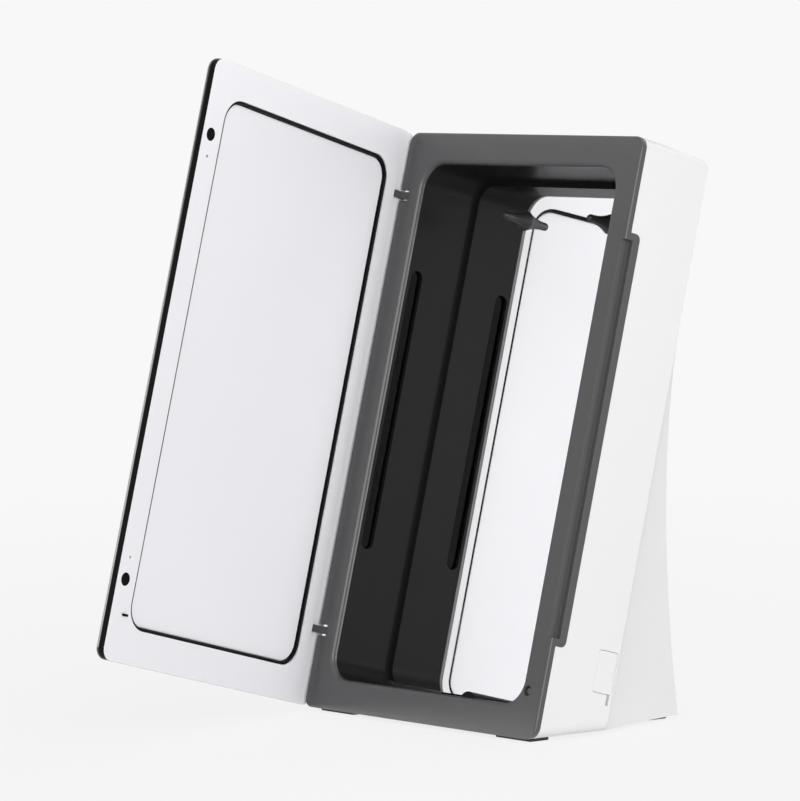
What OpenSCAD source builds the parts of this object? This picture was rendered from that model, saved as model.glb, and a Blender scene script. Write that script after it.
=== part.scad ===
// Cabinet that leans back on a flared stand, with a mirror-backed chamber, two
// lamp tubes behind slots in its side walls and a side-hung mirror-faced door.
// Millimetres, +Z up, -Y is the front. The origin lies on the floor under the
// middle of the box that holds the whole part, with the door open as drawn.
//
// The cabinet is drawn about the point on the floor under the middle of its
// front face, and on_floor() puts that point in its place. Most pieces are
// drawn in the face frame: X across, Y up the slope of the front face and Z out
// of it towards the user, so depth behind the face is -Z.

/* [Cabinet] */
// Width of the cabinet
body_w = 142; // [134:1:156]
// Height of the front face along its slope
face_h = 245; // [238:1:260]
// Depth of the cabinet, square to its front face
box_d = 38; // [37.5:0.5:46]
// Angle that the cabinet leans back
lean = 14.2; // [11:0.1:14.6]
// Radius of the cabinet's long edges
corner_r = 5; // [4:0.5:7]
// Wall of the white shell
shell_t = 2.2; // [1.8:0.1:2.4]
// Fall of the top face from front to rear
top_fall = 1.6; // [0:0.1:2.4]
// Radius of the top rear edge
rear_top_r = 3.5; // [2:0.5:6]

/* [Front frame] */
// Thickness of the front frame
frame_t = 2.7; // [2.4:0.1:3]
// Radius of the frame's outer front edge
frame_edge_r = 1; // [0.6:0.1:1.4]
// Frame width beside the opening
side_margin = 12; // [11.6:0.1:13]
// Frame width above the opening
top_margin = 13; // [12.4:0.1:16]
// Frame width below the opening
bottom_margin = 13.3; // [13.2:0.1:15]
// Corner radius of the opening
opening_r = 10.5; // [9:0.5:12]
// Radius of the rounded lip of the opening
lip_r = 2; // [1:0.1:2.2]

/* [Finger pull] */
// Lower end of the pull tab, up the slope
pull_y = 38.5; // [37:0.5:60]
// Distance of the tab's upper end below the top of the front face
pull_top = 39; // [37.5:0.5:80]
// Depth of the pull tab behind the face
pull_d = 8; // [7:0.1:10]
// Width of the finger notch in the tab
notch_w = 2.2; // [1.5:0.1:2.6]
// Depth of the finger notch
notch_d = 4.3; // [3:0.1:5]

/* [Chamber] */
// Distance from the back mirror's face to the cabinet's rear face
mirror_in = 6; // [5.7:0.1:10]
// Wall of the chamber
chamber_t = 1.6; // [1.2:0.1:1.7]
// Width of the ledge round the back mirror
ledge_w = 2.3; // [1.5:0.1:4]
// Thickness of the back mirror
mirror_t = 1.2; // [0.8:0.1:1.4]
// Width of a rest rib on the chamber floor
rib_w = 9; // [6:0.5:12]
// Height of a rest rib
rib_h = 2.6; // [1.5:0.1:4]

/* [Pegs] */
// Distance between the two pegs
peg_gap = 51; // [40:1:70]
// Distance of the pegs below the top of the front face
peg_in = 30; // [27:0.5:45]
// Length of a peg
peg_len = 12.5; // [8:0.5:16]
// Radius of a peg at the mirror
peg_base_r = 4.2; // [3:0.1:5.5]
// Radius of a peg's round tip
peg_tip_r = 1.7; // [1.2:0.1:2.4]

/* [Lamps] */
// Length of a lamp slot
slot_len = 118.5; // [90:0.5:120]
// Width of a lamp slot
slot_w = 6.5; // [4.5:0.1:6.6]
// Depth of the slot's middle line behind the face
slot_d = 7.6; // [7.6:0.1:9]
// Height of the slot's middle above the middle of the opening
slot_rise = 5.35; // [-3:0.05:8]
// Radius of a lamp tube
lamp_r = 2; // [1.5:0.1:2.1]
// Length of the tube beyond each end of the slot
lamp_over = 8; // [7:0.5:10]

/* [Door] */
// Thickness of the closed door
door_t = 5; // [4.6:0.1:6]
// Gap between the closed door and the frame
door_gap = 0.3; // [0.3:0.05:0.5]
// Gap between the door's hinge edge and the cabinet's side
door_side = 0.6; // [0.4:0.1:1]
// Angle of the door as it is drawn
open_angle = 77; // [0:1:100]
// Distance from the door's hinge edge to its sunk mirror
panel_left = 15.6; // [14:0.1:18]
// Distance from the door's free edge to its sunk mirror
panel_right = 11.8; // [11.8:0.1:14]
// Border of the door below the sunk mirror
panel_bottom = 14.5; // [14:0.1:20]
// Border of the door above the sunk mirror
panel_top = 14; // [10:0.5:20]
// Corner radius of the sunk mirror's surround
panel_r = 10; // [8:0.5:14]
// Width of the door seal
seal_w = 1.4; // [1.2:0.1:2.4]
// Depth of the sunk mirror below the door's inner face
panel_sink = 1.6; // [1.2:0.1:1.7]

/* [Hinge] */
// Distance of the hinge axis from the cabinet's side
hinge_in = 3.2; // [3.1:0.1:3.4]
// Depth of the hinge axis behind the front face
hinge_d = 3; // [2.9:0.1:3.2]
// Height of the lower hinge up the slope
hinge_low = 32.5; // [29:0.5:45]
// Distance of the upper hinge below the top of the front face
hinge_top = 27; // [23:0.5:32]
// Radius of a hinge pin
pin_r = 0.8; // [0.7:0.05:0.9]
// Height of a hinge arm along its pin
arm_h = 3; // [2.4:0.1:3.6]

/* [Catch and switch] */
// Distance of the magnets from the free edge of the door
magnet_in = 5.3; // [5:0.1:6]
// Radius of a magnet
magnet_r = 2.65; // [2.2:0.05:2.7]
// Height of the lower magnet up the slope
magnet_low = 33.2; // [31:0.1:33.6]
// Distance of the upper magnet below the top of the front face
magnet_top = 31.2; // [25:0.1:33]
// Distance of the plunger from the cabinet's free side
switch_in = 8.6; // [8.3:0.1:9]
// Height of the plunger up the slope
switch_y = 19.3; // [18:0.1:21]
// Radius of the plunger
plunger_r = 1.3; // [1:0.05:1.4]
// Travel of the plunger
plunger_travel = 1.2; // [0.8:0.1:1.3]

/* [Stand] */
// Height that is left between the stand and the top of the shell
stand_drop = 73; // [55:1:95]
// Reach of the stand behind the shell at the floor
stand_reach = 57.5; // [50:0.5:64]
// Width of the stand's rear face at the floor
stand_w = 105.4; // [96:0.2:116]
// Wall of the stand
stand_t = 2.2; // [1.8:0.1:2.6]

/* [Feet and base] */
// Thickness of the rubber feet
foot_t = 1.5; // [1:0.1:3]
// Length of a rubber foot across the cabinet
foot_w = 21.5; // [16:0.5:24]
// Width of a rubber foot
foot_l = 10.5; // [8:0.5:12]
// Thickness of the base plate
base_t = 2; // [1.6:0.1:2.6]

/* [Port] */
// Height of the port cover along the slope
port_h = 17; // [15:0.5:19]
// Width of the port cover
port_w = 10.4; // [10:0.1:10.8]
// Lower edge of the port cover up the slope
port_y = 24.2; // [24:0.1:28]
// Length of the cable slot below the port cover
cable_slot = 4.4; // [3:0.1:5]

/* [Hidden] */
$fn = 48;

// Middle of the whole part, from the point under the front face
centre = [-2.615, -15.954];

// Fits
seat = 0.1; // gap beside a piece that drops into a seat
slide_fit = 0.05; // radial gap of a piece that turns or slides
far = 40; // how far cutting shapes reach past the solid

// Colours, red green blue
frame_col = [0.36, 0.36, 0.37];
shell_col = [0.95, 0.95, 0.95];
mirror_col = [0.86, 0.86, 0.9];
black_col = [0.05, 0.05, 0.05];
metal_col = [0.72, 0.73, 0.75];

// Cabinet, derived
half_w = body_w / 2;
opening_w = body_w - 2 * side_margin;
opening_h = face_h - top_margin - bottom_margin;
opening_mid = bottom_margin + opening_h / 2;
rear_in = box_d - shell_t;

// Front frame, derived
rim_t = 1.6;
rim_d = 4;
rim_low = 40;
pull_len = face_h - pull_y - pull_top;
pull_bar = 2 * notch_w;
notch_end = 3;
tab_r = 2.5;
lug_h = 16;
lug_w = 7;
lug_d = 8;
arm_gap = 0.9;
hinge_slot = arm_h + 2 * arm_gap;
hinge_slot_w = 6;
hinge_x = hinge_in - half_w;
hinges = [hinge_low, face_h - hinge_top];

// Chamber, derived
chamber_x = opening_w / 2 + chamber_t;
chamber_d = box_d - mirror_in;
chamber_rear = chamber_d + mirror_t + 2.2;
flange_w = 5;
flange_t = 1.6;
peg_y = face_h - peg_in;
peg_stem_r = 1.5;
peg_root = 1.8;

// Frame screws, derived
screw_r = 1.2;
screw_head_r = 2.4;
screw_head_h = 1.6;
boss_r = 2.8;
frame_boss_d = 9;
frame_screw_x = 50;
frame_screw_ys = [bottom_margin - 5.2, face_h - top_margin + 5.8];

// Lamps, derived
slot_mid = opening_mid + slot_rise;
window_t = 0.8;
window_over = 3;
window_gap = 0.4;
lamp_x = chamber_x + window_t + window_gap + lamp_r;
lamp_half = slot_len / 2 + lamp_over;
socket_x = 5.8;
socket_h = 8;
socket_start = slot_len / 2 + window_over + 1.2;
reflector_t = 0.4;
reflector_x = lamp_x + lamp_r + 0.2;
reflector_front = slot_d - slot_w / 2 + 0.1;

// Door, derived
rebate = 1.3;
rebate_w = 10 - door_side;
liner_t = 1.2;
door_skin = 1.4;
door_wall = 1.6;
door_edge_r = 1.2;
door_left = -half_w + door_side;
door_w = body_w - door_side;
door_mid = door_left + door_w / 2;
door_low = 0.4;
door_h = face_h - 2 * door_low;
door_back = door_gap + door_t - door_skin;
panel_w = door_w - panel_left - panel_right;
panel_h = face_h - panel_bottom - panel_top;
panel_x = door_left + panel_left + panel_w / 2;
panel_y = panel_bottom + panel_h / 2;
seal_round = seal_w / 2 - seat;
glass_front = door_gap + panel_sink;
rib_t = 1.2;
door_rib_rows = 4;

// Hinge arm, derived
barrel_r = 1.9;
arm_foot = 6.2;
foot_z = door_gap + rebate;
arm_stem_r = 1;
arm_stem_x = 4;
arm_stem_h = 1.8;
pin_len = 13;

// Catch and switch, derived
magnet_t = 2;
magnet_x = half_w - magnet_in;
magnet_high = face_h - magnet_top;
magnets = [magnet_low, magnet_high];
magnet_skin = 0.8;
magnet_face = 0.05;
pip_gap = 8.9;
pip_r = 0.6;
switch_x = half_w - switch_in;
ring_r = plunger_r + 0.8;
switch_boss_r = plunger_r + slide_fit + 0.8;
switch_boss_d = 7;
plunger_face = 1;
tab_len = 1;
tab_w = 2.8;
flange_r = plunger_r + 0.7;
plunger_flange = 0.7;
plunger_stop = switch_boss_d + 0.3;
plunger_root = plunger_stop + plunger_flange;
microswitch_d = plunger_root + 4;
stem_r = 0.7;
stem_len = 4 - plunger_travel - 0.4;
spring_wire = 0.22;
spring_r = 1.25;
spring_turns = 5;
microswitch = [5.4, 11, 6];
cheek_t = 1.2;
switch_mid = chamber_x + 0.3 + microswitch[0] / 2;
switch_room = microswitch[1] / 2 + cheek_t + 1;

// Stand, derived
floor_z = foot_t;
stand_h = face_h - stand_drop;
stand_levels = 14;
side_steps = 10;
stand_tip = 1.2;
stand_front_t = 2;
stand_power = 1.5;
side_power = 0.6;
stand_run = stand_reach * cos(lean);
hollow_tip = 1;
hollow_reach = stand_t + stand_front_t + hollow_tip - stand_tip;
hollow_top = stand_h * (1 - pow(hollow_reach / (stand_reach - stand_tip), 1 / stand_power));
plate_land = 1.5;
rear_screw_x = 40;
rear_screw_low = 100;
rear_screw_top = 45;
rear_screw_ys = [rear_screw_low, face_h - rear_screw_top];
board_w = 76;
board_low = 25;
board_high = 84;
board_t = 1.6;
board_gap = 4;
board_screw_in = 4;
wire_window_w = 30;
wire_window_h = 20;
wire_window_y = 62;
wire_window_r = 3;
coil_x = -14;
coil_up = 24;
coil_mid = [coil_x, board_low + coil_up];
coil_size = [20, 18];
coil_core = [14, 14];
coil_cheek = 2;
coil_h = 6;
capacitor_x = 12;
capacitor_up = 13;
capacitor_step = 12;
capacitor_ys = [board_low + capacitor_up, board_low + capacitor_up + capacitor_step];
capacitor_r = 4;
capacitor_h = 9;
lamp_plug_x = 28;
lamp_plug_up = 21;
lamp_plug_mid = [lamp_plug_x, board_low + lamp_plug_up];
lamp_plug = [8, 20, 5];
chip_in = 13;
chip_mid = [0, board_high - chip_in];
chip = [12, 10, 2];
base_inset = 6.5;
base_boss_r = 3.4;
base_boss_h = 7;
base_rib_l = base_inset - 1.2;
front_foot_x = half_w - 6 - foot_w / 2;
front_foot_y = 4 + foot_l / 2;
rear_foot_x = stand_w / 2 - 3 - foot_w / 2;
rear_foot_y = box_d / cos(lean) + stand_reach - 3 - foot_l / 2;

// Port, derived
port_t = 1.6;
port_rear = box_d - 0.8;
jack_w = 7.6;
jack_h = 11;
jack_hole_r = 2.75;
jack_pin_r = 0.9;

// Frames and sections

module on_floor() {
  translate([-centre[0], -centre[1], 0]) children();
}

module on_slope() {
  on_floor() translate([0, 0, floor_z]) rotate([90 - lean, 0, 0]) children();
}

// Pieces of the door are drawn as if it were shut, then swung to open_angle.
module door_swing() {
  on_slope() translate([hinge_x, 0, -hinge_d]) rotate([0, -open_angle, 0])
    translate([-hinge_x, 0, hinge_d]) children();
}

// A slab between two depths behind the face, from a 2D section seen from the front.
module slab(front, back) {
  translate([0, 0, -back]) linear_extrude(back - front) children();
}

// A slab between two heights above the face.
module plate(low, high) {
  translate([0, 0, low]) linear_extrude(high - low) children();
}

// A bar across the cabinet, from a 2D section of depth against height.
module across(x0, x1) {
  translate([x0, 0, 0]) rotate([0, 90, 0]) linear_extrude(x1 - x0) children();
}

module round_rect(w, h, r) {
  square([w - 2 * r, h], center = true);
  square([w, h - 2 * r], center = true);
  for (x = [-1, 1], y = [-1, 1])
    translate([x * (w / 2 - r), y * (h / 2 - r)]) circle(r);
}

module round_box(x0, x1, y0, y1, r) {
  translate([(x0 + x1) / 2, (y0 + y1) / 2]) round_rect(x1 - x0, y1 - y0, r);
}

// Sweeps a small 2D section round a rounded rectangle: the section's X is the
// distance outside the outline and its Y is the height.
module run_round(w, h, r) {
  for (i = [0:3]) {
    sx = (i == 0 || i == 3) ? 1 : -1;
    sy = (i < 2) ? 1 : -1;
    translate([sx * (w / 2 - r), sy * (h / 2 - r), 0]) rotate([0, 0, i * 90])
      rotate_extrude(angle = 90) translate([r, 0]) children();
  }
  for (turn = [0, 180]) rotate([0, 0, turn]) {
    translate([w / 2, h / 2 - r, 0]) rotate([90, 0, 0])
      linear_extrude(h - 2 * r) children();
    translate([-w / 2 + r, h / 2, 0]) rotate([90, 0, 90])
      linear_extrude(w - 2 * r) children();
  }
}

module opening_outline(grow = 0) {
  translate([0, opening_mid])
    round_rect(opening_w + 2 * grow, opening_h + 2 * grow, opening_r + grow);
}

module panel_outline(grow = 0) {
  translate([panel_x, panel_y])
    round_rect(panel_w + 2 * grow, panel_h + 2 * grow, panel_r + grow);
}

module face_outline() {
  round_box(-half_w, half_w, -far, face_h, corner_r);
}

// Outline of the shell's hollow, inside its sides and below its sloping top.
module hollow_outline(inset = 0) {
  round_box(-half_w + shell_t + inset, half_w - shell_t - inset, -far,
    face_h - shell_t - top_fall - inset, max(corner_r - shell_t - inset, 0.2));
}

// Upright prism with rounded lower edges that trims the leaning box level with the floor.
module level_base(inset = 0) {
  on_floor() translate([0, 4 * far, floor_z + inset]) rotate([90, 0, 0]) linear_extrude(5 * far)
    round_box(-half_w + inset, half_w - inset, 0, 2 * face_h, corner_r - inset);
}

function top_at(depth) = face_h - top_fall * depth / box_d;

// Depth against height of the closed box, with its rounded top rear edge.
module box_side() {
  rise = top_at(box_d - rear_top_r);
  polygon([[0, -far], [box_d, -far], [box_d, rise - rear_top_r],
    [box_d - rear_top_r, rise - rear_top_r], [box_d - rear_top_r, rise], [0, face_h]]);
  translate([box_d - rear_top_r, rise - rear_top_r]) circle(rear_top_r);
}

// A tab of the frame that reaches back over the shell's side, with round rear corners.
module side_tab(y0, y1, deep, grow = 0) {
  intersection() {
    round_box(-far, deep + grow, y0 - grow, y1 + grow, tab_r + grow);
    translate([0, -far]) square([2 * far, face_h + 2 * far]);
  }
}

module screw(length) {
  cylinder(h = length, r = screw_r);
  difference() {
    translate([0, 0, length]) cylinder(h = screw_head_h, r = screw_head_r);
    for (a = [0, 90]) translate([0, 0, length + screw_head_h]) rotate([0, 0, a])
      cube([2 * screw_r, 0.6, screw_head_h], center = true);
  }
}

// Front frame

module frame_plate() {
  translate([0, face_h / 2 - far / 2, 0]) {
    slab(frame_edge_r, frame_t) round_rect(body_w, face_h + far, corner_r);
    slab(0, frame_t) round_rect(body_w - 2 * frame_edge_r,
      face_h + far - 2 * frame_edge_r, corner_r - frame_edge_r);
    translate([0, 0, -frame_edge_r]) run_round(body_w - 2 * frame_edge_r,
      face_h + far - 2 * frame_edge_r, corner_r - frame_edge_r) circle(frame_edge_r);
  }
}

module opening_cut() {
  slab(-1, far) opening_outline();
  difference() {
    slab(-1, lip_r) opening_outline(lip_r);
    translate([0, opening_mid, -lip_r]) run_round(opening_w + 2 * lip_r,
      opening_h + 2 * lip_r, opening_r + lip_r) circle(lip_r);
  }
}

// Locates the frame inside the shell along its sides and top.
module frame_rim() {
  intersection() {
    slab(frame_t - seat, frame_t + rim_d) difference() {
      hollow_outline(seat);
      hollow_outline(seat + rim_t);
    }
    translate([-half_w, rim_low, -far]) cube([body_w, face_h, 2 * far]);
  }
}

module switch_cheeks() {
  for (side = [-1, 1])
    translate([switch_mid - microswitch[0] / 2,
      switch_y + side * (microswitch[1] + cheek_t) / 2 - cheek_t / 2, -microswitch_d - 4])
      cube([microswitch[0], cheek_t, microswitch_d + 4 - frame_t + seat]);
}

module front_frame() {
  color(frame_col) intersection() {
    level_base();
    on_slope() difference() {
      union() {
        frame_plate();
        frame_rim();
        across(half_w - pull_bar, half_w) intersection() {
          side_tab(pull_y, pull_y + pull_len, pull_d);
          translate([frame_edge_r, 0]) square([far, face_h]);
        }
        for (y = hinges) across(-half_w, -half_w + lug_w) intersection() {
          side_tab(y - lug_h / 2, y + lug_h / 2, lug_d);
          translate([frame_edge_r, 0]) square([far, face_h]);
        }
        for (x = [-1, 1], y = frame_screw_ys) translate([x * frame_screw_x, y, -frame_boss_d])
          cylinder(h = frame_boss_d - frame_t + seat, r = boss_r);
        translate([switch_x, switch_y, -switch_boss_d])
          cylinder(h = switch_boss_d - frame_t + seat, r = switch_boss_r);
        switch_cheeks();
      }
      opening_cut();
      across(half_w - notch_w, half_w + 1)
        translate([-1, pull_y + notch_end]) square([notch_d + 1, pull_len - 2 * notch_end]);
      for (y = hinges) {
        across(-half_w - 1, -half_w + hinge_slot_w)
          translate([-1, y - hinge_slot / 2]) square([far, hinge_slot]);
        translate([hinge_x, y - pin_len / 2 - seat, -hinge_d]) rotate([-90, 0, 0])
          cylinder(h = pin_len + 2 * seat, r = pin_r + slide_fit / 2);
      }
      for (y = magnets) translate([magnet_x, y, -far])
        cylinder(h = far - magnet_skin, r = magnet_r + slide_fit);
      translate([switch_x, switch_y, -frame_t]) cylinder(h = frame_t + 1, r = ring_r);
      translate([switch_x, switch_y, -far]) cylinder(h = far, r = plunger_r + slide_fit);
      for (x = [-1, 1], y = frame_screw_ys) translate([x * frame_screw_x, y, -frame_boss_d - 1])
        cylinder(h = frame_boss_d - frame_t + 1, r = screw_r + slide_fit);
    }
  }
}

// Chamber

module lamp_slot(grow = 0) {
  round_box(slot_d - slot_w / 2 - grow, slot_d + slot_w / 2 + grow,
    slot_mid - slot_len / 2 - grow, slot_mid + slot_len / 2 + grow, slot_w / 2 + grow - 0.01);
}

// A rest rib: a low bar with a rounded crown, along the chamber floor.
module rest_rib() {
  crown = (rib_w * rib_w / 4 + rib_h * rib_h) / (2 * rib_h);
  slab(frame_t, chamber_d - seat) intersection() {
    translate([0, bottom_margin + rib_h - crown]) circle(crown, $fn = 96);
    translate([-rib_w / 2, bottom_margin - seat]) square([rib_w, rib_h + seat]);
  }
}

// Flange behind the front frame, cleared round the frame's bosses and the switch.
module chamber_flange() {
  slab(frame_t, frame_t + flange_t) difference() {
    opening_outline(flange_w);
    for (x = [-1, 1], y = frame_screw_ys)
      translate([x * frame_screw_x, y]) circle(boss_r + seat);
    translate([switch_x, switch_y]) circle(switch_boss_r + seat);
    translate([chamber_x + seat, -far]) square([far, far + switch_y + switch_room]);
  }
}

// Ear that carries a frame screw, from its round end to the middle of the chamber's wall.
module screw_ear(x, y) {
  wall = y < face_h / 2 ? bottom_margin - chamber_t / 2 : face_h - top_margin + chamber_t / 2;
  translate([x, y]) circle(boss_r);
  translate([x - boss_r, min(y, wall)]) square([2 * boss_r, abs(wall - y)]);
}

module chamber() {
  color(frame_col) on_slope() difference() {
    union() {
      difference() {
        union() {
          slab(frame_t, chamber_rear) opening_outline(chamber_t);
          chamber_flange();
          slab(frame_boss_d, frame_boss_d + flange_t)
            for (x = [-1, 1], y = frame_screw_ys) screw_ear(x * frame_screw_x, y);
        }
        slab(0, chamber_d) opening_outline();
        slab(0, chamber_d + mirror_t) opening_outline(-ledge_w);
      }
      for (x = [-1, 1]) translate([x * peg_gap / 2, 0, 0]) rest_rib();
      for (x = [-1, 1], y = rear_screw_ys) translate([x * rear_screw_x, y, -rear_in])
        cylinder(h = rear_in - chamber_rear + seat, r = boss_r + 1);
    }
    for (x = [-half_w, chamber_x - 2 * chamber_t]) across(x, x + half_w - chamber_x + 2 * chamber_t)
      lamp_slot();
    for (x = [-1, 1]) translate([x * peg_gap / 2, peg_y, -far - chamber_d])
      cylinder(h = 2 * far, r = peg_stem_r + slide_fit);
    for (x = [-1, 1], y = rear_screw_ys)
      translate([x * rear_screw_x, y, -rear_in - 1])
        cylinder(h = rear_in - chamber_d - mirror_t + 1 + seat, r = screw_r + slide_fit);
    for (x = [-1, 1], y = frame_screw_ys)
      translate([x * frame_screw_x, y, -frame_boss_d - flange_t - 1])
        cylinder(h = flange_t + 2, r = screw_r + slide_fit);
  }
}

module back_mirror() {
  color(mirror_col) on_slope() difference() {
    slab(chamber_d, chamber_d + mirror_t) opening_outline(-ledge_w - seat);
    for (x = [-1, 1]) translate([x * peg_gap / 2, peg_y, -far - chamber_d])
      cylinder(h = 2 * far, r = peg_stem_r + slide_fit);
  }
}

// Radius of a peg at a share of its straight length: a trumpet foot that thins to the tip.
function peg_r(share) = peg_tip_r + (peg_base_r - peg_tip_r) * pow(1 - share, 2.2);

module pegs() {
  straight = peg_len - peg_tip_r;
  profile = concat([[0, 0]], [for (i = [0:10]) [peg_r(i / 10), straight * i / 10]],
    [for (a = [15:15:90]) [peg_tip_r * cos(a), straight + peg_tip_r * sin(a)]]);
  color(black_col) on_slope() for (x = [-1, 1]) translate([x * peg_gap / 2, peg_y, -chamber_d]) {
    rotate_extrude() polygon(profile);
    translate([0, 0, -mirror_t - peg_root]) cylinder(h = mirror_t + peg_root + seat, r = peg_stem_r);
  }
}

// Lamps

module lamp(side) {
  on_slope() translate([side * lamp_x, slot_mid, -slot_d]) rotate([90, 0, 0]) {
    color([0.9, 0.93, 0.97]) cylinder(h = 2 * lamp_half, r = lamp_r, center = true);
  }
}

module lamp_left() {
  lamp(-1);
}

module lamp_right() {
  lamp(1);
}

module lamp_sockets() {
  color(black_col) on_slope() for (side = [-1, 1], end = [-1, 1]) difference() {
    translate([side * (chamber_x + socket_x / 2), slot_mid + end * (socket_start + socket_h / 2),
      -slot_d]) cube([socket_x, socket_h, 2 * lamp_r + 2], center = true);
    translate([side * lamp_x, slot_mid, -slot_d]) rotate([90, 0, 0])
      cylinder(h = 2 * lamp_half + 2 * seat, r = lamp_r + slide_fit, center = true);
  }
}

module lamp_windows() {
  color([0.85, 0.9, 0.95, 0.5]) on_slope() for (x = [-chamber_x - window_t, chamber_x])
    across(x, x + window_t) intersection() {
      lamp_slot(window_over);
      translate([frame_t + flange_t + seat, 0]) square([far, face_h]);
    }
}

module lamp_reflectors() {
  lip = reflector_x - chamber_x;
  half = slot_len / 2 + window_over;
  color(metal_col) on_slope() for (side = [-1, 1]) mirror([side < 0 ? 1 : 0, 0, 0]) {
    translate([reflector_x, slot_mid - half, -slot_d - slot_w / 2 - window_over - reflector_t])
      cube([reflector_t, 2 * half, slot_w + window_over + reflector_t]);
    translate([reflector_x - lip, slot_mid - half, -slot_d - slot_w / 2 - window_over - reflector_t])
      cube([lip + reflector_t, 2 * half, reflector_t]);
  }
}

// Shell

module port_hole(grow = 0) {
  round_box(port_rear - port_w - grow, port_rear + grow, port_y - grow, port_y + port_h + grow, 1);
}

module outer_shell() {
  color(shell_col) difference() {
    intersection() {
      level_base();
      on_slope() intersection() {
        slab(frame_t, box_d) face_outline();
        across(-half_w, half_w) box_side();
      }
    }
    intersection() {
      level_base(shell_t);
      on_slope() slab(0, rear_in) hollow_outline();
    }
    on_slope() {
      across(half_w - shell_t - 1, half_w + 1) side_tab(pull_y, pull_y + pull_len, pull_d, seat);
      for (y = hinges) across(-half_w - 1, -half_w + shell_t + 1)
        side_tab(y - lug_h / 2, y + lug_h / 2, lug_d, seat);
      across(half_w - shell_t - 1, half_w + 1) {
        port_hole(seat);
        translate([port_rear - 2.2, port_y - cable_slot - seat]) square([1.4, cable_slot + 2 * seat]);
      }
      for (x = [-1, 1], y = rear_screw_ys) translate([x * rear_screw_x, y, -box_d - 1])
        cylinder(h = 2 * shell_t + 1, r = screw_r + slide_fit);
      slab(rear_in - 1, box_d + 1) translate([0, wire_window_y])
        round_rect(wire_window_w, wire_window_h, wire_window_r);
    }
  }
}

module port_cover() {
  color(shell_col) on_slope() {
    across(half_w - port_t, half_w) port_hole(-seat / 2);
    across(half_w - port_t - 1, half_w - port_t)
      port_hole(-1.2);
  }
}

module power_jack() {
  x0 = half_w - port_t - 1 - seat - jack_w;
  color(black_col) on_slope() difference() {
    translate([x0, port_y + (port_h - jack_h) / 2, -rear_in + seat])
      cube([jack_w, jack_h, port_w - 2]);
    translate([x0 + 1.5, port_y + port_h / 2, -rear_in + seat + port_w / 2 - 1]) rotate([0, 90, 0])
      difference() {
        cylinder(h = jack_w, r = jack_hole_r);
        translate([0, 0, -1]) cylinder(h = jack_w, r = jack_pin_r);
      }
  }
}

// Stand

// Depth on the floor plan of the shell's rear face at a height above the base.
function rear_y(z) = (box_d + z * sin(lean)) / cos(lean);

// How far the stand reaches behind the shell at a height above the base.
function reach_at(z) = stand_tip + (stand_reach - stand_tip) * pow(max(1 - z / stand_h, 0), stand_power);

// Half the width of the stand at a distance behind the shell's rear face. skin
// is the distance of the inner surface inside the outer one.
function side_x(r, skin = 0) = let (
  span = half_w - stand_w / 2,
  share = min(r / stand_run, 1),
  slope = span * side_power / stand_run * pow(max(share, 0.01), side_power - 1)
) half_w - span * pow(share, side_power) - skin * norm([1, slope]);

// Width against distance behind the shell; stretch turns it into a level section.
function side_points(skin, stretch = 1) = let (
  half = [for (i = [0:side_steps + 1]) let (r = stand_run * pow(i / side_steps, 2))
    [side_x(r, skin), (box_d + r) * stretch]],
  n = len(half)
) concat(half, [for (i = [n - 1:-1:0]) [-half[i][0], half[i][1]]]);

// Depth against height of the stand, from a start height up to a top.
function profile_points(start, top, front, skin) = concat(
  [[rear_y(start) + front, start + floor_z]],
  [for (i = [0:stand_levels]) let (z = start + (top - start) * i / stand_levels)
    [rear_y(z) + reach_at(max(z, 0)) - skin, z + floor_z]],
  [[rear_y(top) + front, top + floor_z]]
);

module stand_form(top, front, skin) {
  intersection() {
    on_floor() rotate([90, 0, 90]) translate([0, 0, -half_w]) linear_extrude(body_w)
      polygon(profile_points(0, top, front, skin));
    on_slope() translate([0, face_h, 0]) rotate([90, 0, 0]) linear_extrude(face_h + far)
      mirror([0, 1]) polygon(side_points(skin));
    level_base(skin);
  }
}

// Outline of the base plate, which drops into an opening under the stand.
module plate_outline(grow = 0) {
  front = rear_y(base_t) + stand_front_t + seat - grow;
  rear = rear_y(base_t) + reach_at(base_t) - stand_t - seat + grow;
  wide = half_w - corner_r - plate_land + grow;
  intersection() {
    polygon(side_points(stand_t + seat - grow, 1 / cos(lean)));
    translate([-wide, front]) square([2 * wide, rear - front]);
  }
}

function base_boss_y(row) = row == 0 ? rear_y(0) + stand_front_t + base_inset
  : rear_y(0) + stand_reach - stand_t - base_inset;
function base_boss_x(row) = row == 0 ? half_w - 16 : rear_foot_x - foot_w / 2 - 10;

module base_bosses() {
  on_floor() for (x = [-1, 1], row = [0, 1]) {
    translate([x * base_boss_x(row), base_boss_y(row), floor_z + base_t])
      cylinder(h = base_boss_h, r = base_boss_r);
    translate([x * base_boss_x(row) - 0.8, base_boss_y(row) - (row == 0 ? base_rib_l : 0),
      floor_z + base_t]) cube([1.6, base_rib_l, base_boss_h]);
  }
}

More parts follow.
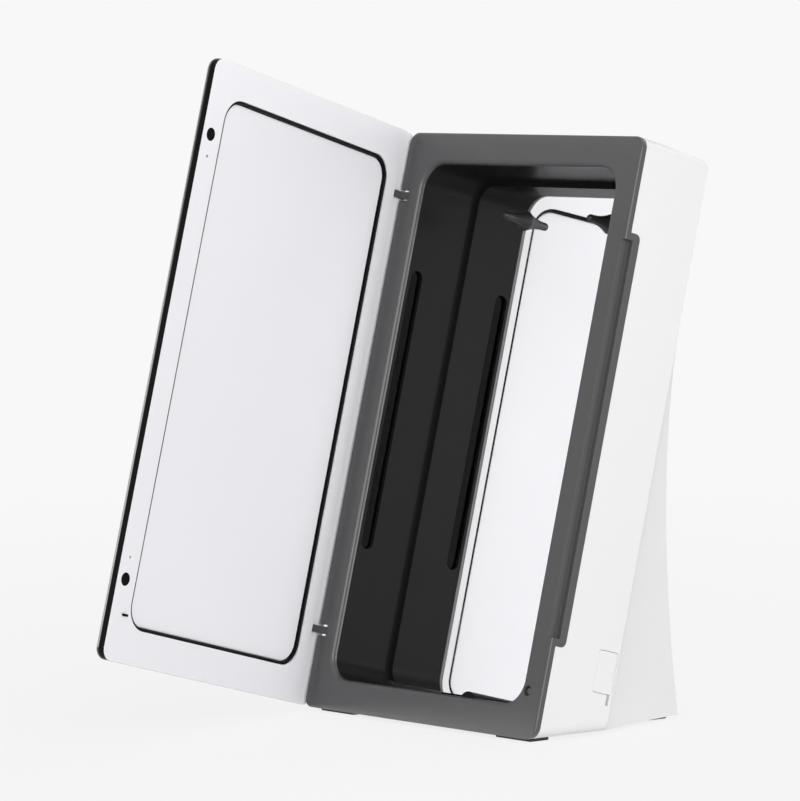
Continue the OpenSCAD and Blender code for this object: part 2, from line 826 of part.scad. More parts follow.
module stand() {
  color(shell_col) difference() {
    union() {
      difference() {
        stand_form(stand_h, 0, 0);
        stand_form(hollow_top, stand_front_t, stand_t);
        on_floor() translate([0, 0, floor_z - 1]) linear_extrude(stand_t + 1.1) plate_outline(seat);
      }
      base_bosses();
      on_slope() for (x = [-1, 1], y = [board_low + board_screw_in, board_high - board_screw_in])
        translate([x * (board_w / 2 - board_screw_in), y, -box_d - board_gap])
          cylinder(h = board_gap - stand_front_t / 2, r = boss_r);
    }
    on_floor() for (x = [-1, 1], row = [0, 1])
      translate([x * base_boss_x(row), base_boss_y(row), floor_z + base_t - 1])
        cylinder(h = base_boss_h, r = screw_r + slide_fit);
    on_slope() {
      for (x = [-1, 1], y = [board_low + board_screw_in, board_high - board_screw_in])
        translate([x * (board_w / 2 - board_screw_in), y, -box_d - board_gap - 1])
          cylinder(h = board_gap, r = screw_r + slide_fit);
      for (x = [-1, 1]) translate([x * rear_screw_x, rear_screw_ys[0], -box_d - stand_front_t - 1])
        cylinder(h = stand_front_t + 2, r = screw_r + slide_fit);
      slab(box_d - 1, box_d + stand_front_t + 1) translate([0, wire_window_y])
        round_rect(wire_window_w, wire_window_h, wire_window_r);
    }
  }
}

module base_plate() {
  color([0.85, 0.85, 0.85]) on_floor() difference() {
    translate([0, 0, floor_z]) linear_extrude(base_t) plate_outline();
    for (x = [-1, 1], row = [0, 1]) translate([x * base_boss_x(row), base_boss_y(row), floor_z - 1]) {
      cylinder(h = base_t + 2, r = screw_r + slide_fit);
      cylinder(h = 1 + screw_head_h - 0.4, r = screw_head_r + seat);
    }
  }
}

module foot_pad(x, y) {
  translate([x, y, 0]) linear_extrude(foot_t) round_rect(foot_w, foot_l, 1.5);
}

module rubber_feet() {
  color(black_col) on_floor() for (side = [-1, 1]) {
    foot_pad(side * front_foot_x, front_foot_y);
    foot_pad(side * rear_foot_x, rear_foot_y);
  }
}

// Electronics

module power_board() {
  color([0.1, 0.4, 0.2]) on_slope() difference() {
    slab(box_d + board_gap, box_d + board_gap + board_t)
      round_box(-board_w / 2, board_w / 2, board_low, board_high, 1);
    for (x = [-1, 1], y = [board_low + board_screw_in, board_high - board_screw_in])
      translate([x * (board_w / 2 - board_screw_in), y, -box_d - board_gap - far])
        cylinder(h = far, r = screw_r + slide_fit);
  }
}

// A block on the board, from its middle, its size and its height above the board.
module on_board(mid, size, low, high, r) {
  top = box_d + board_gap + board_t;
  slab(top + low, top + high) translate(mid) round_rect(size[0], size[1], r);
}

module lamp_transformer() {
  color([0.75, 0.6, 0.2]) on_slope() {
    on_board(coil_mid, coil_size, 0, coil_cheek, 1);
    on_board(coil_mid, coil_core, coil_cheek, coil_cheek + coil_h, 3);
    on_board(coil_mid, coil_size, coil_cheek + coil_h, 2 * coil_cheek + coil_h, 1);
  }
}

module board_parts() {
  top = box_d + board_gap + board_t;
  color([0.2, 0.2, 0.25]) on_slope() {
    for (y = capacitor_ys) translate([capacitor_x, y, -top - capacitor_h])
      cylinder(h = capacitor_h, r = capacitor_r);
    on_board(lamp_plug_mid, lamp_plug, 0, lamp_plug[2], 0.6);
    on_board(chip_mid, chip, 0, chip[2], 0.4);
  }
}

// Catch, switch and hinges

module catch_magnets() {
  color(metal_col) on_slope() for (y = magnets)
    translate([magnet_x, y, -frame_t]) cylinder(h = frame_t - magnet_skin, r = magnet_r);
}

module switch_plunger() {
  color([0.45, 0.45, 0.46]) on_slope() translate([switch_x, switch_y, 0]) {
    translate([0, 0, -plunger_root]) cylinder(h = plunger_root - plunger_face, r = plunger_r);
    translate([0, 0, -plunger_root]) cylinder(h = plunger_flange, r = flange_r);
    translate([0, 0, -plunger_root - stem_len]) cylinder(h = stem_len, r = stem_r);
  }
}

// One unbroken wire wound between the plunger's flange and the switch.
module plunger_spring() {
  steps = 8 * spring_turns;
  sides = 6;
  free = microswitch_d - plunger_root - 2 * spring_wire - 0.1;
  ring = [for (i = [0:steps], k = [0:sides - 1]) let (turn = 45 * i, a = 360 * k / sides,
    r = spring_r + spring_wire * cos(a))
    [r * cos(turn), r * sin(turn), free * i / steps + spring_wire * sin(a)]];
  walls = [for (i = [0:steps - 1], k = [0:sides - 1]) let (a = i * sides + k,
    b = i * sides + (k + 1) % sides, c = a + sides, d = b + sides) for (f = [[a, b, c], [b, d, c]]) f];
  color(metal_col) on_slope()
    translate([switch_x, switch_y, -microswitch_d + spring_wire + 0.05])
      polyhedron(ring, concat([[for (k = [sides - 1:-1:0]) k]],
        [[for (k = [0:sides - 1]) steps * sides + k]], walls));
}

module door_switch() {
  color(black_col) on_slope() translate([switch_mid, switch_y, -microswitch_d]) {
    translate([-microswitch[0] / 2, -microswitch[1] / 2, -microswitch[2]]) cube(microswitch);
    for (y = [-3, 0, 3]) translate([-0.3, y - 0.6, -microswitch[2] - 3]) cube([0.6, 1.2, 3]);
  }
}

module hinge_pins() {
  color(metal_col) on_slope() for (y = hinges)
    translate([hinge_x, y - pin_len / 2, -hinge_d]) rotate([-90, 0, 0])
      cylinder(h = pin_len, r = pin_r);
}

module hinge_arms() {
  color(frame_col) door_swing() for (y = hinges) difference() {
    union() {
      translate([hinge_x, y - arm_h / 2, -hinge_d]) rotate([-90, 0, 0])
        cylinder(h = arm_h, r = barrel_r);
      translate([hinge_x - barrel_r, y - arm_h / 2, -hinge_d])
        cube([2 * barrel_r, arm_h, hinge_d + foot_z]);
      translate([hinge_x - barrel_r, y - arm_h / 2, door_gap + seat])
        cube([barrel_r + arm_foot, arm_h, rebate - seat]);
      translate([hinge_x + arm_stem_x, y, foot_z - seat]) cylinder(h = arm_stem_h + seat, r = arm_stem_r);
    }
    translate([hinge_x, y - arm_h, -hinge_d]) rotate([-90, 0, 0])
      cylinder(h = 2 * arm_h, r = pin_r + slide_fit);
  }
}

// Door

module door_outline(inset = 0) {
  translate([door_mid, door_low + door_h / 2])
    round_rect(door_w - 2 * inset, door_h - 2 * inset, corner_r - inset);
}

module door_cover() {
  front = door_gap + door_t;
  color(black_col) door_swing() difference() {
    union() {
      plate(door_gap + liner_t, front - door_edge_r) door_outline();
      plate(door_gap + liner_t, front) door_outline(door_edge_r);
      translate([door_mid, door_low + door_h / 2, front - door_edge_r])
        run_round(door_w - 2 * door_edge_r, door_h - 2 * door_edge_r, corner_r - door_edge_r)
          circle(door_edge_r);
    }
    plate(0, door_back) difference() {
      door_outline(door_wall);
      for (y = magnets) translate([magnet_x, y]) circle(magnet_r + 0.8);
      translate([door_left, 0]) square([rebate_w + door_wall, face_h]);
    }
    // Step down behind the liner's rebate at the hinge edge
    translate([door_left - 1, 0, 0]) cube([rebate_w + door_wall + 1, face_h, foot_z + liner_t]);
    translate([door_left + door_wall, door_low + door_wall, 0])
      cube([rebate_w + 0.01, door_h - 2 * door_wall, door_back]);
    for (y = magnets) translate([magnet_x, y, 0])
      cylinder(h = magnet_face + door_gap + magnet_t, r = magnet_r + slide_fit);
  }
  color(black_col) door_swing() door_ribs();
}

// Low ribs that carry the sunk mirror on the inside of the cover.
module door_ribs() {
  glass_back = glass_front + mirror_t;
  inner_w = panel_w - 2 * seal_w - 2;
  inner_h = panel_h - 2 * seal_w - 2;
  intersection() {
    plate(glass_back, door_back + seat) union() {
      for (i = [0:door_rib_rows])
        translate([panel_x - inner_w / 2, panel_y - inner_h / 2 + (inner_h - rib_t) * i / door_rib_rows])
          square([inner_w, rib_t]);
      for (x = [-1, 0, 1])
        translate([panel_x + x * (inner_w - rib_t) / 2 - rib_t / 2, panel_y - inner_h / 2])
          square([rib_t, inner_h]);
    }
    plate(glass_back - 1, door_back + 1) panel_outline(-seal_w - 1);
  }
}

module door_liner() {
  color(mirror_col) door_swing() difference() {
    union() {
      difference() {
        plate(door_gap, door_gap + liner_t) door_outline();
        translate([door_left - 1, 0, 0]) cube([rebate_w + 1, face_h, foot_z]);
      }
      intersection() {
        plate(foot_z, foot_z + liner_t) door_outline();
        translate([door_left - 1, 0, 0]) cube([rebate_w + 1 + liner_t, face_h, far]);
      }
      intersection() {
        plate(door_gap, foot_z + liner_t) door_outline();
        translate([door_left + rebate_w, 0, 0]) cube([liner_t, face_h, far]);
      }
      for (y = [magnet_low + pip_gap, magnet_high - pip_gap]) translate([magnet_x, y, door_gap - 0.2])
        cylinder(h = 0.2 + seat, r = pip_r);
      translate([switch_x - tab_w / 2, switch_y - 0.5, door_gap - tab_len])
        cube([tab_w, 1, tab_len + seat]);
    }
    plate(0, far) panel_outline();
    for (y = magnets) translate([magnet_x, y, -1]) cylinder(h = far, r = magnet_r + slide_fit);
    for (y = hinges) translate([hinge_x + arm_stem_x, y, 0])
      cylinder(h = far, r = arm_stem_r + slide_fit);
  }
}

module door_mirror() {
  color(mirror_col) door_swing() plate(glass_front, glass_front + mirror_t)
    panel_outline(-seal_w - seat);
}

module door_seal() {
  round_z = door_gap + 0.3 + seal_round;
  color(black_col) door_swing() translate([panel_x, panel_y, 0])
    run_round(panel_w - seal_w, panel_h - seal_w, panel_r - seal_w / 2) {
      translate([0, round_z]) circle(seal_round);
      translate([-seal_round, round_z]) square([2 * seal_round, door_back - round_z]);
    }
}

module door_magnets() {
  color(black_col) door_swing() for (y = magnets)
    translate([magnet_x, y, door_gap + magnet_face]) cylinder(h = magnet_t, r = magnet_r);
}

// Screws

module frame_screws() {
  color(metal_col) on_slope() for (x = [-1, 1], y = frame_screw_ys)
    translate([x * frame_screw_x, y, -frame_t - 1]) rotate([180, 0, 0])
      screw(frame_boss_d + flange_t - frame_t - 1);
}

module rear_screws() {
  color(metal_col) on_slope() for (x = [-1, 1], i = [0, 1])
    translate([x * rear_screw_x, rear_screw_ys[i], -chamber_d - mirror_t - 0.4]) rotate([180, 0, 0])
      screw(box_d - chamber_d - mirror_t - 0.4 + (i == 0 ? stand_front_t : 0));
}

module base_screws() {
  color(metal_col) on_floor() for (x = [-1, 1], row = [0, 1])
    translate([x * base_boss_x(row), base_boss_y(row), floor_z + base_t + base_boss_h - 2])
      rotate([180, 0, 0]) screw(base_t + base_boss_h - 2 - screw_head_h + 0.4);
}

module board_screws() {
  color(metal_col) on_slope()
    for (x = [-1, 1], y = [board_low + board_screw_in, board_high - board_screw_in])
      translate([x * (board_w / 2 - board_screw_in), y, -box_d - 1.5]) rotate([180, 0, 0])
        screw(board_gap + board_t - 1.5);
}

front_frame();
chamber();
back_mirror();
pegs();
outer_shell();
stand();
base_plate();
rubber_feet();
port_cover();
power_jack();
lamp_left();
lamp_right();
lamp_sockets();
lamp_windows();
lamp_reflectors();
power_board();
lamp_transformer();
board_parts();
catch_magnets();
switch_plunger();
plunger_spring();
door_switch();
hinge_pins();
frame_screws();
rear_screws();
base_screws();
board_screws();
door_cover();
door_liner();
door_mirror();
door_seal();
door_magnets();
hinge_arms();
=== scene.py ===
import math

import bmesh
import bpy
from mathutils import Matrix, Vector


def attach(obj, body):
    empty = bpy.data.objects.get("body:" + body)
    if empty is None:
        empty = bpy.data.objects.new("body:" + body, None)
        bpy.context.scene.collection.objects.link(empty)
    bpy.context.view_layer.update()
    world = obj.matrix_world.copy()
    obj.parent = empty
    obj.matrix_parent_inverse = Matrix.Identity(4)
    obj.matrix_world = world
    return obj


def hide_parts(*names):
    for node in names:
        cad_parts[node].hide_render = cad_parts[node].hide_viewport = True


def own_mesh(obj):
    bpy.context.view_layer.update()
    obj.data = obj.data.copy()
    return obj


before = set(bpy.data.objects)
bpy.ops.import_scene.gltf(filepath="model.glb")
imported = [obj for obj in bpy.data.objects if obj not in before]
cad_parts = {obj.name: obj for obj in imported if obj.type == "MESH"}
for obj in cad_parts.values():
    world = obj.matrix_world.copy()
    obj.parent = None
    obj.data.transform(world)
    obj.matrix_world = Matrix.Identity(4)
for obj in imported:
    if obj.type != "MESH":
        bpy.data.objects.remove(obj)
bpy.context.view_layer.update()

MM = 0.001

# The cabinet leans back on its feet. Its coordinates are across, up the slope of the
# front face and depth behind it, in millimetres. The door's are across and up as if
# it were shut, and the height above the front face.
LEAN = math.radians(14.2)
FOOT_HEIGHT = 1.5
CENTRE = (-2.615, -15.954)
HINGE_ACROSS, HINGE_DEPTH = -67.8, 3.0
DOOR_OPEN = math.radians(77)

# Camera: metres from the floor under the middle of the front face's lower edge, and
# degrees
LENS, SENSOR = 224.72, 36
CAMERA_PLACE = (1.5203, -1.3169, 0.2733)
AZIMUTH, ELEVATION, ROLL = -49.266, -4.006, -0.154

# Door and its liner, in the door's coordinates
DOOR_LEFT, DOOR_RIGHT, DOOR_LOW, DOOR_HIGH = -70.4, 71.0, 0.4, 244.6
DOOR_CORNER = 5.0
DOOR_FRONT = 5.3
CAST_ROUND, DOOR_ROUND, ROUND_STEPS = 1.2, 2.4, 5
LINER_FACE = 0.3
SWITCH_TAB, TAB_REACH = (62.4, 19.3), (1.6, 0.8)
PIPS, PIP_REACH = ((65.7, 42.1), (65.7, 204.9)), 0.8
RIM_REACH = 0.1
ROUND_MARGIN, SURFACE_MARGIN = 0.05, 0.02
FACING = 0.999

# Switch spring: the depth of its inner end, its length and how far it is pressed
SPRING_END, SPRING_LENGTH, PLUNGER_TRAVEL = 11.92, 3.84, 1.2

# Mesh work
WELD = 2e-6
FLAT, ROUND_FROM, SHARP_FROM = math.radians(0.4), math.radians(32), math.radians(28)

# Finishes: the part of a noise that is spread out, and a Mix node's colour sockets
NOISE_LOW, NOISE_HIGH = 0.3, 0.7
MIX_SHARE, MIX_FIRST, MIX_SECOND, MIX_RESULT = 0, 6, 7, 2

# Studio
WHITE = (1.0, 1.0, 1.0, 1.0)
PAPER = (0.939, 0.939, 0.939)
WORLD_LIGHT = 0.3
FLOOR_REACH = 12.0
GLOW_NEAR, GLOW_PER_METRE = 0.86, 0.12
SOFTBOXES = {  # place, height on the axis that it faces, width and height, watts
    "right_softbox": ((1.35, -0.7, 0.5), 0.12, (1.2, 1.2), 19.5),
    "front_softbox": ((-1.15, -0.95, 0.3), 0.12, (0.5, 0.5), 5),
    "left_softbox": ((-1.5, -0.2, 0.5), 0.12, (0.35, 1.2), 5),
    "rear_softbox": ((0.1, 1.6, 0.7), 0.12, (1.2, 1.0), 5.5),
    "top_softbox": ((0.1, 0.2, 1.6), 0.1, (1.2, 1.2), 3),
}


# Places

def on_face(across, up, depth):
    """A point of the cabinet, in metres in the frame's space."""
    back = depth * math.cos(LEAN) + up * math.sin(LEAN)
    high = FOOT_HEIGHT - depth * math.sin(LEAN) + up * math.cos(LEAN)
    return Vector((across - CENTRE[0], back - CENTRE[1], high)) * MM


def on_door(across, up, height):
    """A point of the open door, in metres in the frame's space."""
    x, z = across - HINGE_ACROSS, height + HINGE_DEPTH
    swung = HINGE_ACROSS + x * math.cos(DOOR_OPEN) - z * math.sin(DOOR_OPEN)
    out = x * math.sin(DOOR_OPEN) + z * math.cos(DOOR_OPEN) - HINGE_DEPTH
    return on_face(swung, up, -out)


def off_door(point):
    """The door's coordinates of a point of the open door, the reverse of on_door."""
    place = point / MM + Vector((CENTRE[0], CENTRE[1], -FOOT_HEIGHT))
    up = place.y * math.sin(LEAN) + place.z * math.cos(LEAN)
    out = place.z * math.sin(LEAN) - place.y * math.cos(LEAN)
    x, z = place.x - HINGE_ACROSS, out + HINGE_DEPTH
    across = HINGE_ACROSS + x * math.cos(DOOR_OPEN) + z * math.sin(DOOR_OPEN)
    return across, up, z * math.cos(DOOR_OPEN) - x * math.sin(DOOR_OPEN) - HINGE_DEPTH


def inside_edge(across, up):
    """How far a point of the door lies inside the door's outline."""
    x = abs(across - (DOOR_LEFT + DOOR_RIGHT) / 2) - (DOOR_RIGHT - DOOR_LEFT) / 2 + DOOR_CORNER
    y = abs(up - (DOOR_LOW + DOOR_HIGH) / 2) - (DOOR_HIGH - DOOR_LOW) / 2 + DOOR_CORNER
    return DOOR_CORNER - math.hypot(max(x, 0), max(y, 0)) - min(max(x, y), 0)


def link(name, data):
    made = bpy.data.objects.new(name, data)
    bpy.context.scene.collection.objects.link(made)
    return made


def make_camera():
    data = bpy.data.cameras.new("photo_camera")
    data.sensor_width = SENSOR
    data.lens = LENS
    data.clip_start = 0.05
    data.clip_end = 60
    camera = link("photo_camera", data)
    bpy.context.scene.camera = camera
    azimuth, elevation, roll = (math.radians(a) for a in (AZIMUTH, ELEVATION, ROLL))
    forward = Vector((math.cos(elevation) * math.sin(azimuth),
                      math.cos(elevation) * math.cos(azimuth), math.sin(elevation)))
    right = forward.cross(Vector((0, 0, 1))).normalized()
    up = right.cross(forward)
    side = right * math.cos(roll) + up * math.sin(roll)
    head = up * math.cos(roll) - right * math.sin(roll)
    camera.matrix_world = Matrix((
        (side.x, head.x, -forward.x, CAMERA_PLACE[0] - CENTRE[0] * MM),
        (side.y, head.y, -forward.y, CAMERA_PLACE[1] - CENTRE[1] * MM),
        (side.z, head.z, -forward.z, CAMERA_PLACE[2]),
        (0, 0, 0, 1)))


# Finishes

class Value:
    """A number that varies over a surface. Arithmetic on it adds Math nodes."""

    def __init__(self, look, socket):
        self.look, self.socket = look, socket

    def math(self, operation, other):
        return self.look.node("ShaderNodeMath", {"operation": operation}, {0: self, 1: other})

    def __add__(self, other):
        return self.math("ADD", other)

    def __mul__(self, other):
        return self.math("MULTIPLY", other)

    __radd__, __rmul__ = __add__, __mul__


class Look:
    """One finish: a material whose nodes are added by node()."""

    def __init__(self, name, color, roughness, metallic=0.0, gloss=0.5):
        self.material = bpy.data.materials.new(name)
        self.material.use_nodes = True
        self.tree = self.material.node_tree
        self.tree.nodes.clear()
        self.output = self.tree.nodes.new("ShaderNodeOutputMaterial")
        self.shader = self.tree.nodes.new("ShaderNodeBsdfPrincipled")
        self.tree.links.new(self.shader.outputs[0], self.output.inputs["Surface"])
        self.color = (*color, 1.0)
        self.material.diffuse_color = self.color
        self.set("Base Color", self.color)
        self.set("Roughness", roughness)
        self.set("Metallic", metallic)
        self.set("Specular IOR Level", gloss)

    def put(self, socket, value):
        if isinstance(value, Value):
            self.tree.links.new(value.socket, socket)
        else:
            socket.default_value = value

    def set(self, socket, value):
        self.put(self.shader.inputs[socket], value)

    def node(self, kind, settings=None, inputs=None, out=0):
        made = self.tree.nodes.new(kind)
        for key, value in (settings or {}).items():
            setattr(made, key, value)
        for key, value in (inputs or {}).items():
            self.put(made.inputs[key], value)
        return Value(self, made.outputs[out])

    def place(self):
        return self.node("ShaderNodeTexCoord", out="Object")

    def noise(self, scale, detail, roughness=0.5, stretch=None):
        where = self.place()
        if stretch:
            where = self.node("ShaderNodeMapping", {}, {"Vector": where, "Scale": stretch})
        return self.node("ShaderNodeTexNoise", {}, {
            "Vector": where, "Scale": scale, "Detail": detail, "Roughness": roughness})

    def uneven(self, scale, low, high):
        """A number that wanders between low and high."""
        return self.node("ShaderNodeMapRange", {}, {
            "Value": self.noise(scale, detail=3.0), "From Min": NOISE_LOW,
            "From Max": NOISE_HIGH, "To Min": low, "To Max": high})

    def mix(self, share, first, second):
        """Colour between two others."""
        return self.node("ShaderNodeMix", {"data_type": "RGBA"}, {
            MIX_SHARE: share, MIX_FIRST: first, MIX_SECOND: second}, out=MIX_RESULT)

    def bump(self, height, strength, distance=0.00002):
        self.set("Normal", self.node("ShaderNodeBump", {}, {
            "Height": height, "Strength": strength, "Distance": distance}))

    def mottle(self, scale, amount):
        """Slight unevenness of the colour."""
        low = (*(c * (1 - amount) for c in self.color[:3]), 1.0)
        high = (*(min(c * (1 + amount), 1.0) for c in self.color[:3]), 1.0)
        self.set("Base Color", self.mix(self.uneven(scale, 0.0, 1.0), low, high))

    def vary_roughness(self, scale, low, high):
        self.set("Roughness", self.uneven(scale, low, high))


def moulded(name, color, roughness, grain, depth, mottle=0.012, spread=0.02, gloss=0.5):
    """Moulded plastic or rubber: a fine spark-eroded grain and slightly uneven gloss."""
    look = Look(name, color, roughness, gloss=gloss)
    look.mottle(scale=14, amount=mottle)
    look.vary_roughness(scale=9, low=roughness - spread, high=roughness + spread)
    look.bump(look.noise(grain, detail=2.0, roughness=0.6), depth)
    return look


def metal(name, color, roughness, stretch=(1, 1, 1), depth=0.25):
    """Bare metal, with fine marks that stretch draws out along an axis."""
    look = Look(name, color, roughness, metallic=1.0)
    look.mottle(scale=150, amount=0.05)
    look.vary_roughness(scale=220, low=roughness * 0.8, high=roughness * 1.25)
    look.bump(look.noise(2500, detail=2.0, roughness=0.6, stretch=stretch), depth)
    return look


def make_mirror():
    look = Look("mirror_glass", (0.975, 0.975, 0.975), 0.015, metallic=1.0)
    look.mottle(scale=25, amount=0.008)
    look.vary_roughness(scale=30, low=0.008, high=0.03)
    look.bump(look.noise(40, detail=1.0), 0.02, distance=0.00004)
    return look


def make_glass(name, color, alpha, gloss):
    look = Look(name, color, 0.06, gloss=gloss)
    look.set("Alpha", look.uneven(90, alpha - 0.04, alpha + 0.04))
    look.vary_roughness(scale=120, low=0.04, high=0.1)
    return look


def make_board():
    """Green laminate with copper tracks under it."""
    resin, track = (0.02, 0.16, 0.07), (0.05, 0.3, 0.13)
    look = Look("board_laminate", resin, 0.35)
    tracks = look.node("ShaderNodeTexBrick", {"offset": 0.5}, {
        "Vector": look.place(), "Scale": 160.0, "Mortar Size": 0.06})
    look.set("Base Color", look.mix(tracks, (*resin, 1), (*track, 1)))
    look.bump(look.noise(2200, detail=2.0), 0.2, distance=0.00003)
    return look


def make_coil():
    """Copper wire in turns."""
    look = Look("coil_copper", (0.55, 0.27, 0.1), 0.35, metallic=0.7)
    turns = look.node("ShaderNodeTexWave", {"wave_type": "BANDS", "bands_direction": "Y"}, {
        "Vector": look.place(), "Scale": 700.0, "Distortion": 0.4})
    look.bump(turns, 0.6, distance=0.0002)
    look.vary_roughness(scale=200, low=0.28, high=0.42)
    look.mottle(scale=200, amount=0.1)
    return look


# Name, colour, roughness, and for moulded pieces the grain's scale and depth
frame_look = moulded("frame_plastic", (0.07, 0.07, 0.072), 0.34, 5200, 0.3)
chamber_look = moulded("chamber_plastic", (0.0125, 0.0125, 0.013), 0.3, 2600, 0.08, gloss=0.03)
shell_look = moulded("shell_plastic", (0.8, 0.8, 0.802), 0.34, 3800, 0.1,
                     mottle=0.002, spread=0.01)
base_look = moulded("base_plastic", (0.62, 0.62, 0.62), 0.5, 3000, 0.3)
door_black = moulded("door_plastic", (0.003, 0.003, 0.0034), 0.08, 1400, 0.03,
                     mottle=0.05, spread=0.01, gloss=0.1)
door_edge = moulded("door_edge", (0.004, 0.004, 0.0045), 0.2, 1400, 0.03,
                    mottle=0.05, spread=0.01, gloss=0.85)
liner_look = moulded("silvered_liner", (0.86, 0.855, 0.888), 0.34, 2200, 0.03,
                     mottle=0.001, spread=0.008)
panel_look = moulded("silvered_panel", (0.855, 0.85, 0.885), 0.3, 1500, 0.02,
                     mottle=0.001, spread=0.008)
arm_look = moulded("arm_plastic", (0.085, 0.085, 0.088), 0.38, 3000, 0.3, gloss=0.3)
button_look = moulded("button_plastic", (0.1, 0.1, 0.102), 0.4, 3600, 0.3)
seal_look = moulded("seal_rubber", (0.004, 0.004, 0.005), 0.16, 2400, 0.1,
                    mottle=0.1, gloss=0.06)
foot_look = moulded("foot_rubber", (0.018, 0.018, 0.018), 0.7, 2600, 0.6, mottle=0.15)
peg_look = moulded("peg_rubber", (0.02, 0.02, 0.021), 0.46, 2600, 0.35, mottle=0.1)
dark_part = moulded("part_plastic", (0.02, 0.02, 0.022), 0.45, 3000, 0.3, mottle=0.1)
# Black coating of the door magnets. The liner's switch tab takes it too, as painted shade
# standing for the dark inside of a slot.
magnet_black_and_slot_shade = moulded("magnet_coating_and_slot_shade", (0.002, 0.002, 0.0025), 0.45, 2600, 0.3,
                       mottle=0.1, gloss=0.05)
steel_look = metal("fastener_steel", (0.6, 0.61, 0.63), 0.3)
spring_look = metal("spring_steel", (0.62, 0.63, 0.65), 0.25, stretch=(1, 1, 6))
nickel_look = metal("magnet_nickel", (0.7, 0.7, 0.71), 0.2)
reflector_look = metal("reflector_aluminium", (0.45, 0.46, 0.48), 0.3,
                       stretch=(8, 1, 1), depth=0.4)
mirror_look = make_mirror()
lamp_look = make_glass("lamp_glass", (0.5, 0.53, 0.58), alpha=0.4, gloss=0.8)
# The lamp windows are near-black, nearly opaque glass: painted shade that keeps the lamp slots
# dark.
window_shade_look = make_glass("window_glass", (0.0015, 0.0015, 0.0018), alpha=0.94, gloss=0.02)
board_look = make_board()
coil_look = make_coil()


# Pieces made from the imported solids

def softened(node, look, body, width, segments=2, reshape=None, accents=()):
    """The node's own form with its triangles joined into flat faces and its sharp
    edges rounded over by a small radius in millimetres. reshape may change the form
    first, and each accent is a finish with a test of the faces that take it."""
    form = bmesh.new()
    form.from_mesh(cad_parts[node].data)
    bmesh.ops.remove_doubles(form, verts=form.verts, dist=WELD)
    bmesh.ops.dissolve_limit(form, angle_limit=FLAT, use_dissolve_boundaries=False,
                             verts=form.verts, edges=form.edges, delimit=set())
    if reshape:
        reshape(form)
    if width:
        sharp = [e for e in form.edges
                 if len(e.link_faces) == 2 and e.calc_face_angle(0) > ROUND_FROM]
        bmesh.ops.bevel(form, geom=sharp, offset=width * MM, segments=segments, profile=0.5,
                        affect="EDGES", clamp_overlap=True, loop_slide=True)
    bmesh.ops.recalc_face_normals(form, faces=form.faces)
    for face in form.faces:
        face.smooth = True
    mesh = bpy.data.meshes.new(node + "_piece")
    form.to_mesh(mesh)
    form.free()
    mesh.set_sharp_from_angle(angle=SHARP_FROM)
    mesh.materials.append(look.material)
    for index, (finish, takes) in enumerate(accents, 1):
        mesh.materials.append(finish.material)
        for face in mesh.polygons:
            if takes(*off_door(face.center)):
                face.material_index = index
    piece = link(node + "_piece", mesh)
    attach(piece, body)
    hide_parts(node)
    even = piece.modifiers.new("even_shading", "WEIGHTED_NORMAL")
    even.keep_sharp = True
    even.weight = 100
    return piece


def dress(node, look):
    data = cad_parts[node].data
    data.materials.clear()
    data.materials.append(look.material)


def round_cover(form):
    """Widens the rounding between the cover's front and its sides."""
    ahead = (on_door(0, 0, 1) - on_door(0, 0, 0)).normalized()
    form.normal_update()
    front = max((f for f in form.faces if f.normal.dot(ahead) > FACING),
                key=lambda f: f.calc_area())
    for _ in range(ROUND_STEPS):
        bmesh.ops.inset_region(form, faces=[front], use_even_offset=True,
                               thickness=(DOOR_ROUND - CAST_ROUND) / ROUND_STEPS * MM)
    for vert in form.verts:
        across, up, height = off_door(vert.co)
        edge = max(inside_edge(across, up), 0)
        if height > DOOR_FRONT - CAST_ROUND - SURFACE_MARGIN and edge < DOOR_ROUND:
            fall = DOOR_ROUND - math.sqrt(max(DOOR_ROUND ** 2 - (DOOR_ROUND - edge) ** 2, 0))
            vert.co += ahead * (DOOR_FRONT - fall - height) * MM


def on_round(across, up, height):
    return (height > DOOR_FRONT - DOOR_ROUND + ROUND_MARGIN
            and inside_edge(across, up) < DOOR_ROUND)


def on_rim(across, up, height):
    return inside_edge(across, up) < RIM_REACH


# Faces of the liner's switch tab, which are painted black as shade.
def on_switch_tab(across, up, height):
    return (abs(across - SWITCH_TAB[0]) < TAB_REACH[0] and abs(up - SWITCH_TAB[1]) < TAB_REACH[1]
            and height < LINER_FACE - SURFACE_MARGIN)


def on_pip(across, up, height):
    return height < LINER_FACE - SURFACE_MARGIN and any(
        math.hypot(across - pip[0], up - pip[1]) < PIP_REACH for pip in PIPS)


make_camera()

softened("front_frame", frame_look, "cabinet", 0.4, segments=3)
softened("chamber", chamber_look, "cabinet", 0.3)
softened("outer_shell", shell_look, "cabinet", 0.35)
softened("stand", shell_look, "cabinet", 0.3)
softened("port_cover", shell_look, "cabinet", 0.2)
softened("base_plate", base_look, "cabinet", 0.3)
softened("rubber_feet", foot_look, "cabinet", 0.25)
softened("switch_plunger", button_look, "plunger", 0.2)
softened("hinge_arms", arm_look, "door", 0.2)
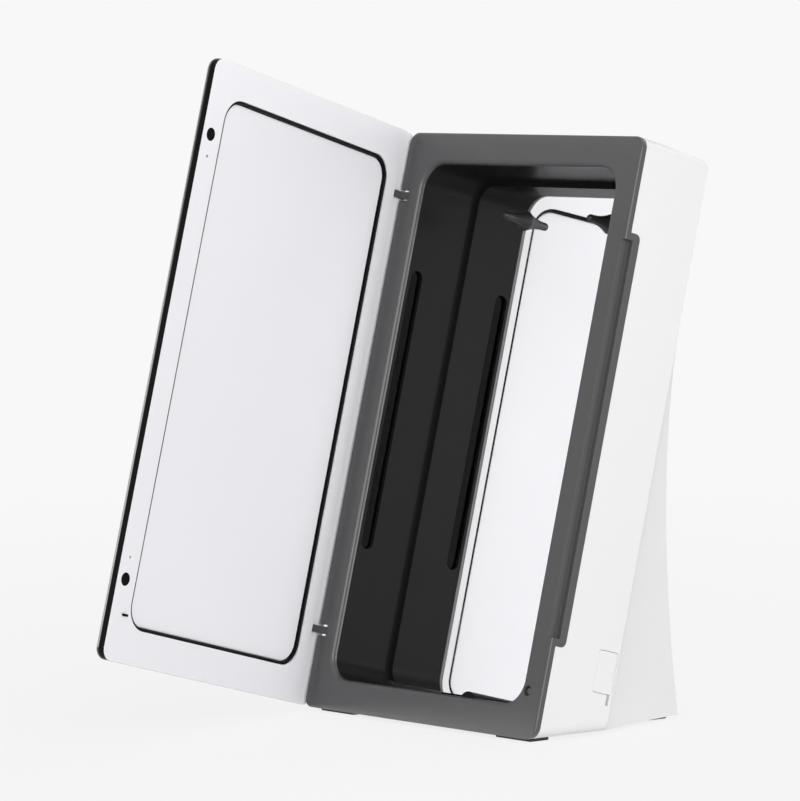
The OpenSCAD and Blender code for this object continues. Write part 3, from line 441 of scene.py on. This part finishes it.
# The liner's switch tab is painted black: painted shade, as if it were a slot dark inside.
softened("door_liner", liner_look, "door", 0.15,
         accents=[(door_black, on_rim), (magnet_black_and_slot_shade, on_switch_tab), (nickel_look, on_pip)])
softened("door_mirror", panel_look, "door", 0.5)
softened("door_cover", door_black, "door", 0.12, reshape=round_cover,
         accents=[(door_edge, on_round)])
softened("pegs", peg_look, "cabinet", 0)
spring = softened("plunger_spring", spring_look, "cabinet", 0)
on_face(0, 0, 1) - on_face(0, 0, 0)
on_face(0, 0, SPRING_END)
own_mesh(spring)
for node, look in {
        "back_mirror": mirror_look, "power_jack": dark_part, "lamp_left": lamp_look,
        "lamp_right": lamp_look, "lamp_sockets": foot_look, "lamp_windows": window_shade_look,
        "lamp_reflectors": reflector_look, "power_board": board_look,
        "lamp_transformer": coil_look, "board_parts": dark_part,
        "catch_magnets": nickel_look, "door_switch": dark_part, "hinge_pins": steel_look,
        "frame_screws": steel_look, "rear_screws": steel_look, "base_screws": steel_look,
        "board_screws": steel_look, "door_seal": seal_look,
        "door_magnets": magnet_black_and_slot_shade}.items():
    dress(node, look)


# Studio

def seen_plainly(look):
    """1 for rays from the camera, off gloss or through glass, which see the plain paper."""
    camera, gloss, glass = (look.node("ShaderNodeLightPath", out=f"Is {kind} Ray")
                            for kind in ("Camera", "Glossy", "Transmission"))
    return (camera + gloss + glass).math("MINIMUM", 1.0)


class Sky:
    """The world's node tree, with the same calls as a finish."""
    node, put = Look.node, Look.put

    def __init__(self, tree):
        self.tree = tree


def make_world():
    world = bpy.data.worlds.new("studio")
    bpy.context.scene.world = world
    world.use_nodes = True
    world.node_tree.nodes.clear()
    sky = Sky(world.node_tree)
    output = sky.tree.nodes.new("ShaderNodeOutputWorld")
    light = sky.node("ShaderNodeBackground", {}, {"Color": WHITE, "Strength": WORLD_LIGHT})
    paper = sky.node("ShaderNodeBackground", {}, {"Color": (*PAPER, 1), "Strength": 1.0})
    mixed = sky.node("ShaderNodeMixShader", {}, {0: seen_plainly(sky), 1: light, 2: paper})
    sky.tree.links.new(mixed.socket, output.inputs[0])


def make_floor():
    """Paper that keeps the object's shadow and turns plain further out."""
    mesh = bpy.data.meshes.new("floor")
    mesh.from_pydata([(x * FLOOR_REACH, y * FLOOR_REACH, 0)
                      for x, y in ((-1, -1), (1, -1), (1, 1), (-1, 1))], [], [(0, 1, 2, 3)])
    look = Look("floor_paper", PAPER, 0.9, gloss=0.0)
    reach = look.node("ShaderNodeVectorMath", {"operation": "LENGTH"}, {0: look.place()}, out=1)
    plain = (reach * GLOW_PER_METRE + GLOW_NEAR).math("MINIMUM", 1.0)
    glow = look.node("ShaderNodeEmission", {}, {"Color": (*PAPER, 1), "Strength": 1.0})
    mixed = look.node("ShaderNodeMixShader", {}, {
        0: seen_plainly(look) * plain, 1: Value(look, look.shader.outputs[0]), 2: glow})
    look.tree.links.new(mixed.socket, look.output.inputs["Surface"])
    mesh.materials.append(look.material)
    link("floor", mesh)


def area_light(name, place, aim, size, power):
    data = bpy.data.lights.new(name, "AREA")
    data.shape = "RECTANGLE"
    data.size, data.size_y = size
    data.energy = power
    lamp = link(name, data)
    lamp.location = place
    lamp.rotation_mode = "QUATERNION"
    lamp.rotation_quaternion = (Vector((0, 0, aim)) - Vector(place)).to_track_quat("-Z", "Y")


bpy.context.scene.view_settings.view_transform = "Standard"
make_world()
make_floor()
for name, settings in SOFTBOXES.items():
    area_light(name, *settings)
